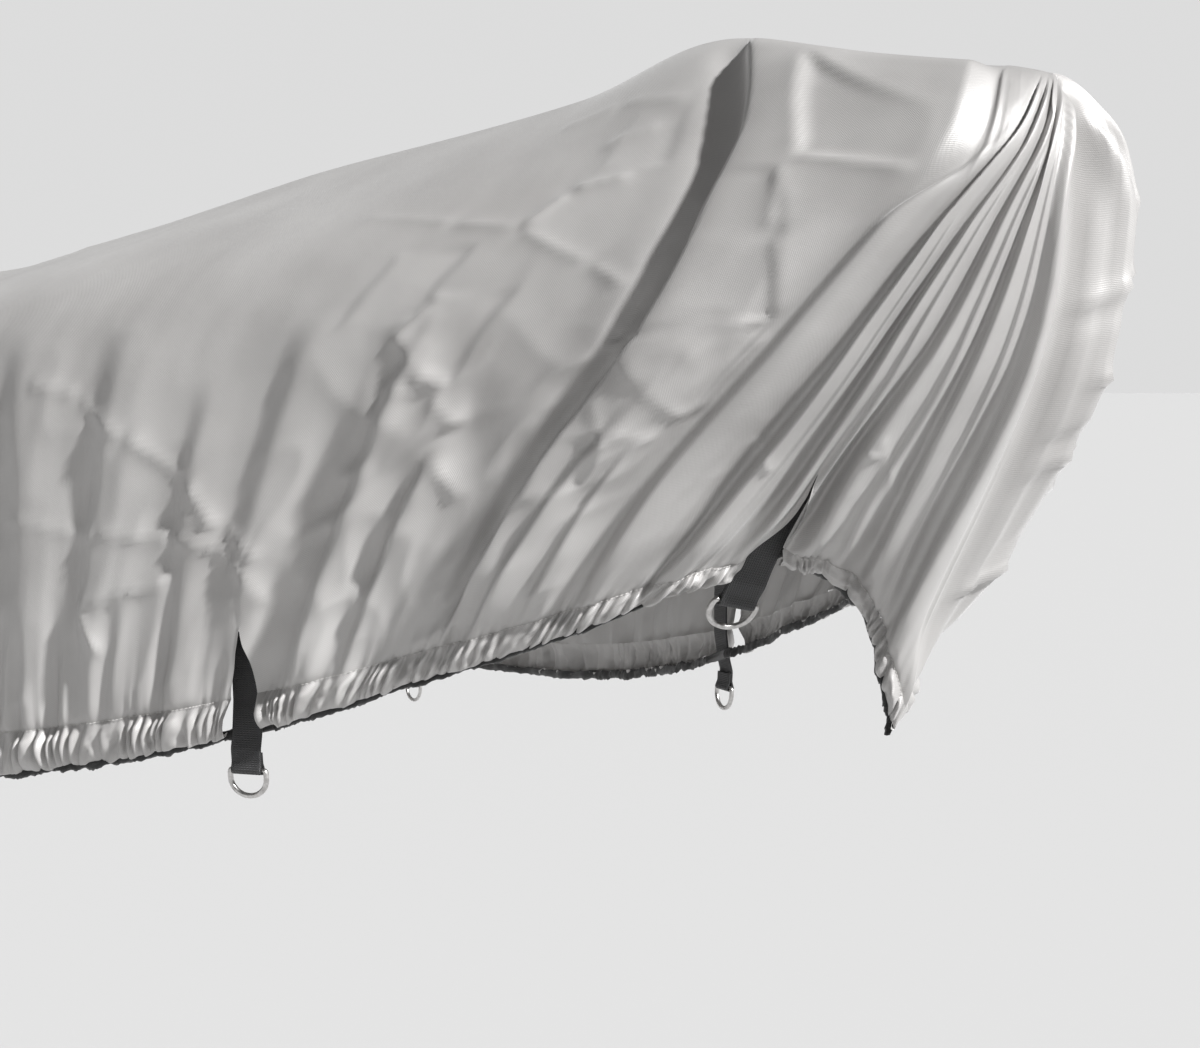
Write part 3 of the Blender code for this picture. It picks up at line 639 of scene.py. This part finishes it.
def frames_at_free(places, level, side):
    """Points on the cloth at single places, with normals, worked out on a local fine grid."""
    step = 0.0008
    wide = np.stack([places - step, places, places + step], axis=1).reshape(-1)
    levels = np.array((level - 0.004, level, level + 0.004))
    around = np.stack([strap_shift(wide, lv, twins=False) for lv in levels], axis=1)
    base = base_surface(around, levels, side)
    down = np.broadcast_to(levels[None, :], around.shape)
    tri = base.reshape(len(places), 3, 3, 3)
    along = tri[:, 2, 1] - tri[:, 0, 1]
    drop = tri[:, 1, 2] - tri[:, 1, 0]
    normal = np.cross(along, drop) * (1.0 if side == "S" else -1.0)
    normal /= np.maximum(np.linalg.norm(normal, axis=1, keepdims=True), 1e-9)
    swept = fan(around, levels)
    height = (fold_height(swept, down, side) + ripple_height(swept, down, side)
              + panel_height(around, down, side) + crease_height(around, down, side)
              + gather_height(around, down, side))
    height = (height * smoothstep(0.0, STEM_FADE, around)).reshape(len(places), 3, 3)[:, 1, 1]
    return tri[:, 1, 1] + normal * height[:, None], normal


def tube_faces(count, sides, closed):
    """Faces of a tube of rings of points, with end caps unless it closes on itself."""
    faces = []
    for k in range(count if closed else count - 1):
        n = (k + 1) % count
        for m in range(sides):
            q = (m + 1) % sides
            faces.append([k * sides + m, k * sides + q, n * sides + q, n * sides + m])
    if not closed:
        faces.append(list(range(sides)))
        faces.append([(count - 1) * sides + m for m in reversed(range(sides))])
    return faces


def face_outward(mesh):
    bm = bmesh.new()
    bm.from_mesh(mesh)
    bmesh.ops.recalc_face_normals(bm, faces=bm.faces)
    bm.to_mesh(mesh)
    bm.free()


def sweep(name, centre, axis_a, axis_b, radii, sides, closed, roughen=None):
    """A tube along a line of points, its section set by two directions at each point."""
    angles = 2 * math.pi * np.arange(sides) / sides
    ring_dirs = axis_a[:, None] * np.cos(angles)[None, :, None] * radii[0] \
        + axis_b[:, None] * np.sin(angles)[None, :, None] * radii[1]
    if roughen is not None:
        ring_dirs = ring_dirs * roughen[..., None]
    points = centre[:, None] + ring_dirs - RIDGE
    mesh = bpy.data.meshes.new(name)
    mesh.from_pydata([tuple(p) for p in points.reshape(-1, 3)], [], tube_faces(len(centre), sides, closed))
    mesh.shade_smooth()
    face_outward(mesh)
    return link(name, mesh)


def hem_elastic():
    """Black elastic below the ruched edge: a rough, wavy cord all round, thicker at the stem."""
    loops = []
    places = np.unique(np.concatenate([np.arange(0.0, BOW_END, 0.0022),
                                       np.arange(BOW_END, HEM_LENGTH, 0.008), [HEM_LENGTH]]))
    for side in "SP":
        hem, normal, down = frames_at(places, 1.0, side, gathers=False)
        behind = sum(np.exp(-((places - place) / 0.045) ** 2) for _, place, _ in STRAPS)
        depth = 0.0042 + 0.0120 * np.clip(behind, 0, 1)
        wobble = 0.0016 * lattice_noise(places / 0.012, places * 0 + 4.4, 61)
        centre = hem - normal * depth[:, None] + down * (0.0006 + wobble)[:, None]
        line = (centre, normal, down)
        loops.append(line if side == "S" else tuple(x[::-1][1:-1] for x in line))
    centre, normal, down = (np.concatenate(parts) for parts in zip(*loops))
    count = len(centre)
    sides = 10
    k = np.arange(count)[:, None]
    m = np.arange(sides)[None, :]
    rough = 1.0 + 0.35 * lattice_noise(k * 0.9 + 0.0 * m, m * 1.7 + 0.0 * k, 71) \
        + 0.25 * lattice_noise(k * 0.23 + 0.0 * m, m * 0.6 + 0.0 * k, 73)
    stem = 1.0 + 0.5 * (np.exp(-((centre[:, 0] - 0.0) / 0.05) ** 2))[:, None]
    return sweep("elastic_cord", centre, normal, down, (0.0024, 0.0046), sides, True, rough * stem)


# ---------------------------------------------------------------- straps and rings
def strap_frame(row, side):
    """Where a strap crosses the hem, and its directions: across, down and out."""
    name, place, lean = row
    around = np.repeat(np.array((place - 0.012, place, place + 0.012))[:, None], 2, axis=1)
    levels = np.array((NOTCH_TOPS.get(name, NOTCH_TOP), 1.0))
    grid = base_surface(around, levels, side)
    across = grid[2, 1] - grid[0, 1]
    across /= np.linalg.norm(across)
    run = grid[1, 1] - grid[1, 0]
    run /= np.linalg.norm(run)
    out = np.cross(across, run)
    out /= np.linalg.norm(out)
    if out @ np.array((0.3, -1.0 if side == "S" else 1.0, 0.0)) < 0:
        out = -out
    turn = math.radians(lean)
    run = run * math.cos(turn) - across * math.sin(turn)
    return grid[1, 1], np.cross(run, out), run, out


def strap_path():
    bar = STRAP_BELOW_HEM
    turn = ROD / 2 + STRAP_GAP + WEBBING_THICKNESS / 2
    lay = WEBBING_THICKNESS + STRAP_GAP
    centre_out = STRAP_IN - lay / 2
    path = [(-1.7 * STRAP_ABOVE_HEM, STRAP_IN - 0.0110), (-STRAP_ABOVE_HEM / 2, STRAP_IN - 0.0085),
            (-0.012, STRAP_IN - 0.0060), (0.003, STRAP_IN - 0.0035), (0.016, STRAP_IN),
            (bar - turn - 0.004, STRAP_IN)]
    for k in range(9):
        angle = math.radians(10 + 160 * k / 8)
        path.append((bar + turn * math.sin(angle), centre_out + turn * math.cos(angle)))
    path += [(bar - turn - 0.003, STRAP_IN - lay), (bar - turn - STRAP_TAIL, STRAP_IN - lay)]
    return np.array(path), (bar, centre_out)


def webbing(row, side):
    """Ribbed webbing: cross ribs every 2 mm, thick woven edges, one loop round the ring's bar."""
    hem, wide, run, out = strap_frame(row, side)
    path, _ = strap_path()
    seg = np.linalg.norm(np.diff(path, axis=0), axis=1)
    at = np.concatenate([[0], np.cumsum(seg)])
    s = np.arange(0, at[-1], 0.0005)
    line = np.stack([np.interp(s, at, path[:, 0]), np.interp(s, at, path[:, 1])], axis=1)
    kernel = np.ones(7) / 7
    for c in range(2):
        padded = np.pad(line[:, c], 3, mode="edge")
        line[:, c] = np.convolve(padded, kernel, mode="valid")
    tangent = np.gradient(line, axis=0)
    tangent /= np.linalg.norm(tangent, axis=1, keepdims=True)
    face = np.stack([-tangent[:, 1], tangent[:, 0]], axis=1)
    across = np.linspace(-1, 1, 17)
    rib = 0.00022 * np.cos(2 * math.pi * s / WEBBING_RIB)
    top = []
    for u in across:
        edge = 0.00035 * np.exp(-((1 - abs(u)) / 0.09) ** 2) - 0.0006 * (abs(u) > 0.995)
        thick = WEBBING_THICKNESS / 2 + rib * (1 - 0.6 * abs(u) ** 6) + edge
        top.append(thick)
    top = np.array(top).T
    rows = []
    for sign in (1, -1):
        off = line[:, None, :] + face[:, None, :] * (sign * top)[..., None]
        sideways = (across * WEBBING_WIDTH / 2)[None, :, None] * wide
        rows.append(hem + off[..., 0:1] * run + off[..., 1:2] * out + sideways)
    loop = np.concatenate([rows[0], rows[1][:, ::-1]], axis=1)
    count, around = loop.shape[:2]
    mesh = bpy.data.meshes.new(f"webbing_{side}{row[0]}")
    mesh.from_pydata([tuple(p - RIDGE) for p in loop.reshape(-1, 3)], [], tube_faces(count, around, False))
    layer = mesh.uv_layers.new(name="metres")
    u_of = np.concatenate([across, across[::-1]]) * WEBBING_WIDTH / 2
    for poly in mesh.polygons:
        for corner in poly.loop_indices:
            v = mesh.loops[corner].vertex_index
            layer.data[corner].uv = (u_of[v % around], s[v // around])
    mesh.shade_smooth()
    face_outward(mesh)
    return link(f"webbing_{side}{row[0]}", mesh)


def ring_line():
    """The D-ring's middle line: a straight bar, two short sides and a round end."""
    half = (RING_INSIDE + ROD) / 2
    straight = -0.008
    points = [(-half + 0.0015, 0.0), (half - 0.0015, 0.0), (half, -0.0020)]
    for k in range(17):
        angle = math.pi * k / 16
        points.append((half * math.cos(angle), straight - (RING_DROP + straight) * math.sin(angle)))
    points.append((-half, -0.0020))
    points = np.array(points)
    closed = np.concatenate([points, points[:1]])
    at = np.concatenate([[0], np.cumsum(np.linalg.norm(np.diff(closed, axis=0), axis=1))])
    s = np.linspace(0, at[-1], RING_POINTS, endpoint=False)
    line = np.stack([np.interp(s, at, closed[:, 0]), np.interp(s, at, closed[:, 1])], axis=1)
    for _ in range(3):
        line = 0.25 * np.roll(line, 1, axis=0) + 0.5 * line + 0.25 * np.roll(line, -1, axis=0)
    return line


def d_ring(row, side):
    hem, wide, run, out = strap_frame(row, side)
    _, (bar_down, bar_out) = strap_path()
    centre = hem + run * bar_down + out * bar_out
    line = ring_line()
    points = centre + line[:, :1] * wide - line[:, 1:] * run
    tangent = np.roll(points, -1, axis=0) - np.roll(points, 1, axis=0)
    tangent /= np.linalg.norm(tangent, axis=1, keepdims=True)
    facing = np.repeat(out[None, :], len(points), axis=0)
    inward = np.cross(tangent, facing)
    return sweep(f"d_ring_{side}{row[0]}", points, facing, inward, (ROD / 2, ROD / 2), 14, True)


# ---------------------------------------------------------------- materials
def new_material(name):
    mat = bpy.data.materials.new(name)
    mat.use_nodes = True
    return mat, mat.node_tree.nodes, mat.node_tree.links, mat.node_tree.nodes["Principled BSDF"]


def add(nodes, kind, **values):
    node = nodes.new(kind)
    for key, value in values.items():
        setattr(node, key, value)
    return node


def math_node(nodes, links, operation, a, b=None):
    node = add(nodes, "ShaderNodeMath", operation=operation)
    for socket, value in zip(node.inputs, (a, b)):
        if value is None:
            continue
        if isinstance(value, (int, float)):
            socket.default_value = value
        else:
            links.new(value, socket)
    return node.outputs[0]


def noise_texture(nodes, links, coords, scale, detail, kind="FBM"):
    noise = add(nodes, "ShaderNodeTexNoise", noise_type=kind)
    noise.inputs["Scale"].default_value = scale
    noise.inputs["Detail"].default_value = detail
    links.new(coords.outputs["Object"], noise.inputs["Vector"])
    return noise.outputs["Fac"]


def colour_ramp(nodes, links, value, stops):
    """Colours between two stops, each a position and a colour."""
    ramp = add(nodes, "ShaderNodeValToRGB")
    for element, (position, colour) in zip(ramp.color_ramp.elements, stops):
        element.position = position
        element.color = (*colour, 1)
    links.new(value, ramp.inputs["Fac"])
    return ramp.outputs["Color"]


def bump(nodes, links, height, strength, distance, below=None):
    node = add(nodes, "ShaderNodeBump")
    node.inputs["Strength"].default_value = strength
    node.inputs["Distance"].default_value = distance
    links.new(height, node.inputs["Height"])
    if below is not None:
        links.new(below, node.inputs["Normal"])
    return node.outputs["Normal"]


def waves(nodes, links, value, pitch):
    """A sine wave along one direction of a weave, one wave for each pitch."""
    phase = math_node(nodes, links, "MULTIPLY", value, 2 * math.pi / pitch)
    return math_node(nodes, links, "SINE", phase)


def cloth_material():
    mat, nodes, links, shader = new_material("cover_cloth_look")
    uv = add(nodes, "ShaderNodeUVMap", uv_map="metres")
    split = add(nodes, "ShaderNodeSeparateXYZ")
    links.new(uv.outputs[0], split.inputs[0])
    warp = waves(nodes, links, split.outputs[0], CLOTH_WEAVE)
    weft = waves(nodes, links, split.outputs[1], CLOTH_WEAVE)
    weave = math_node(nodes, links, "MULTIPLY", warp, weft)
    coords = add(nodes, "ShaderNodeTexCoord")
    cloud = noise_texture(nodes, links, coords, 9.0, 5.0)
    grain = noise_texture(nodes, links, coords, 900.0, 2.0)
    wrinkle = noise_texture(nodes, links, coords, 14.0, 4.0, "RIDGED_MULTIFRACTAL")
    tint = colour_ramp(nodes, links, cloud,
                       ((0.30, (0.395, 0.385, 0.378)), (0.72, (0.475, 0.466, 0.458))))
    mix = add(nodes, "ShaderNodeMix", data_type="RGBA", blend_type="MULTIPLY")
    mix.inputs[0].default_value = 1.0
    shade = add(nodes, "ShaderNodeMapRange")
    shade.inputs["From Min"].default_value = -1.0
    shade.inputs["To Min"].default_value = 0.88
    shade.inputs["To Max"].default_value = 1.06
    links.new(weave, shade.inputs["Value"])
    links.new(tint, mix.inputs[6])
    links.new(shade.outputs["Result"], mix.inputs[7])
    links.new(mix.outputs[2], shader.inputs["Base Color"])
    rough = add(nodes, "ShaderNodeMapRange")
    rough.inputs["To Min"].default_value = 0.36
    rough.inputs["To Max"].default_value = 0.50
    links.new(cloud, rough.inputs["Value"])
    links.new(rough.outputs["Result"], shader.inputs["Roughness"])
    normal = bump(nodes, links, weave, 0.35, 0.00018)
    normal = bump(nodes, links, grain, 0.25, 0.0003, normal)
    normal = bump(nodes, links, wrinkle, 0.30, 0.0020, normal)
    links.new(normal, shader.inputs["Normal"])
    shader.inputs["Metallic"].default_value = 0.20
    shader.inputs["Sheen Weight"].default_value = 0.25
    shader.inputs["Sheen Roughness"].default_value = 0.4
    shader.inputs["Specular IOR Level"].default_value = 0.6
    return mat


def black_material(name, level, rough, scale, distance):
    mat, nodes, links, shader = new_material(name)
    coords = add(nodes, "ShaderNodeTexCoord")
    noise = noise_texture(nodes, links, coords, scale, 3.0)
    dark = (level * 0.5, level * 0.5, level * 0.52)
    light = (level * 2.2, level * 2.2, level * 2.2)
    tint = colour_ramp(nodes, links, noise, ((0.35, dark), (0.75, light)))
    links.new(tint, shader.inputs["Base Color"])
    links.new(bump(nodes, links, noise, 0.6, distance), shader.inputs["Normal"])
    shader.inputs["Roughness"].default_value = rough
    shader.inputs["Sheen Weight"].default_value = 0.3
    return mat


def webbing_material():
    mat, nodes, links, shader = new_material("webbing_look")
    uv = add(nodes, "ShaderNodeUVMap", uv_map="metres")
    split = add(nodes, "ShaderNodeSeparateXYZ")
    links.new(uv.outputs[0], split.inputs[0])
    across = waves(nodes, links, split.outputs[0], WEBBING_WARP)
    along = waves(nodes, links, split.outputs[1], WEBBING_RIB)
    # Weave height of the webbing; it also places the painted highlight on the weave's raised points
    weave_and_highlight = math_node(nodes, links, "MULTIPLY", across, along)
    shade = add(nodes, "ShaderNodeMapRange")
    shade.inputs["From Min"].default_value = -1.0
    links.new(weave_and_highlight, shade.inputs["Value"])
    # Near-black webbing, painted lighter on the raised points of its weave: a painted highlight on the
    # ribs, not the webbing's own colour
    tint = colour_ramp(nodes, links, shade.outputs["Result"],
                       ((0.62, (0.006, 0.006, 0.0065)), (0.96, (0.15, 0.15, 0.155))))
    links.new(tint, shader.inputs["Base Color"])
    links.new(bump(nodes, links, weave_and_highlight, 0.7, 0.0003), shader.inputs["Normal"])
    shader.inputs["Roughness"].default_value = 0.45
    shader.inputs["Specular IOR Level"].default_value = 0.6
    return mat


def steel_material():
    mat, nodes, links, shader = new_material("ring_look")
    coords = add(nodes, "ShaderNodeTexCoord")
    noise = noise_texture(nodes, links, coords, 260.0, 4.0)
    tint = colour_ramp(nodes, links, noise, ((0.3, (0.42, 0.41, 0.40)), (0.7, (0.70, 0.69, 0.68))))
    links.new(tint, shader.inputs["Base Color"])
    rough = add(nodes, "ShaderNodeMapRange")
    rough.inputs["To Min"].default_value = 0.22
    rough.inputs["To Max"].default_value = 0.42
    links.new(noise, rough.inputs["Value"])
    links.new(rough.outputs["Result"], shader.inputs["Roughness"])
    shader.inputs["Metallic"].default_value = 1.0
    return mat


def thread_material():
    mat, nodes, links, shader = new_material("thread_look")
    coords = add(nodes, "ShaderNodeTexCoord")
    fibre = noise_texture(nodes, links, coords, 1500.0, 2.0)
    tint = colour_ramp(nodes, links, fibre, ((0.0, (0.42, 0.41, 0.40)), (1.0, (0.72, 0.71, 0.69))))
    links.new(tint, shader.inputs["Base Color"])
    shader.inputs["Roughness"].default_value = 0.5
    return mat


# ---------------------------------------------------------------- camera, light and floor
def camera():
    """At the bow's starboard side, 45 degrees round, a little above the hem."""
    turn = math.radians(VIEW_TURN)
    right = np.array((math.cos(turn), math.sin(turn), 0.0))
    ahead = np.array((-math.sin(turn), math.cos(turn), 0.0))
    eye = EYE_RIGHT * right - EYE_BACK * ahead + np.array((0.0, 0.0, EYE_HEIGHT))
    pitch = math.radians(VIEW_PITCH)
    look = ahead * math.cos(pitch) - np.array((0.0, 0.0, math.sin(pitch)))
    data = bpy.data.cameras.new("camera")
    data.sensor_width = 36.0
    data.lens = LENS
    data.clip_end = 100.0
    cam = bpy.data.objects.new("camera", data)
    bpy.context.scene.collection.objects.link(cam)
    cam.location = Vector(eye - RIDGE)
    cam.rotation_euler = Vector(look).to_track_quat("-Z", "Y").to_euler()
    bpy.context.scene.camera = cam


def lights():
    sun_data = bpy.data.lights.new("key", "SUN")
    sun_data.energy = SUN_ENERGY
    sun_data.angle = math.radians(SUN_ANGLE)
    sun = bpy.data.objects.new("key", sun_data)
    bpy.context.scene.collection.objects.link(sun)
    sun.rotation_euler = Vector(SUN_FROM).to_track_quat("Z", "Y").to_euler()
    world = bpy.data.worlds.new("studio")
    world.use_nodes = True
    nodes = world.node_tree.nodes
    links = world.node_tree.links
    coords = add(nodes, "ShaderNodeTexCoord")
    split = add(nodes, "ShaderNodeSeparateXYZ")
    links.new(coords.outputs["Generated"], split.inputs[0])
    glow = add(nodes, "ShaderNodeMapRange", interpolation_type="SMOOTHSTEP")
    glow.inputs["From Min"].default_value = 0.19
    glow.inputs["From Max"].default_value = 0.30
    glow.inputs["To Min"].default_value = 0.72
    glow.inputs["To Max"].default_value = 0.12
    links.new(split.outputs[2], glow.inputs["Value"])
    nodes["Background"].inputs["Color"].default_value = (1.0, 1.0, 1.0, 1)
    links.new(glow.outputs["Result"], nodes["Background"].inputs["Strength"])
    bpy.context.scene.world = world
    bpy.context.scene.view_settings.view_transform = "Standard"


def floor():
    mesh = bpy.data.meshes.new("floor")
    z = CAD_BOX[0][2] - FLOOR_DROP
    corners = [(x * FLOOR_HALF, y * FLOOR_HALF, z) for x, y in ((-1, -1), (1, -1), (1, 1), (-1, 1))]
    mesh.from_pydata(corners, [], [[0, 1, 2, 3]])
    obj = link("floor", mesh)
    mat, _, _, shader = new_material("floor_look")
    shader.inputs["Base Color"].default_value = (0.50, 0.50, 0.50, 1)
    shader.inputs["Roughness"].default_value = 0.9
    mesh.materials.append(mat)


def dress(obj, mat):
    obj.data.materials.clear()
    obj.data.materials.append(mat)
    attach(obj, "root")


def main():
    camera()
    lights()
    floor()
    cloth_look = cloth_material()
    elastic_look = black_material("elastic_look", 0.012, 0.85, 1200.0, 0.0006)
    web_look = webbing_material()
    steel = steel_material()
    covers = []
    for side in "SP":
        cover = cover_cloth(side)
        channel = hem_channel(side)
        dress(cover, cloth_look)
        dress(channel, cloth_look)
        covers.append(cover)
    for cover in covers:
        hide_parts("cover_body")
    thread = stitching()
    dress(thread, thread_material())
    elastic = hem_elastic()
    dress(elastic, elastic_look)
    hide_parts("hem_elastic")
    for side in "SP":
        for row in STRAPS:
            strap = webbing(row, side)
            dress(strap, web_look)
            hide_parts(f"strap_{side}{row[0]}")
            ring = d_ring(row, side)
            dress(ring, steel)
            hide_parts(f"ring_{side}{row[0]}")


main()
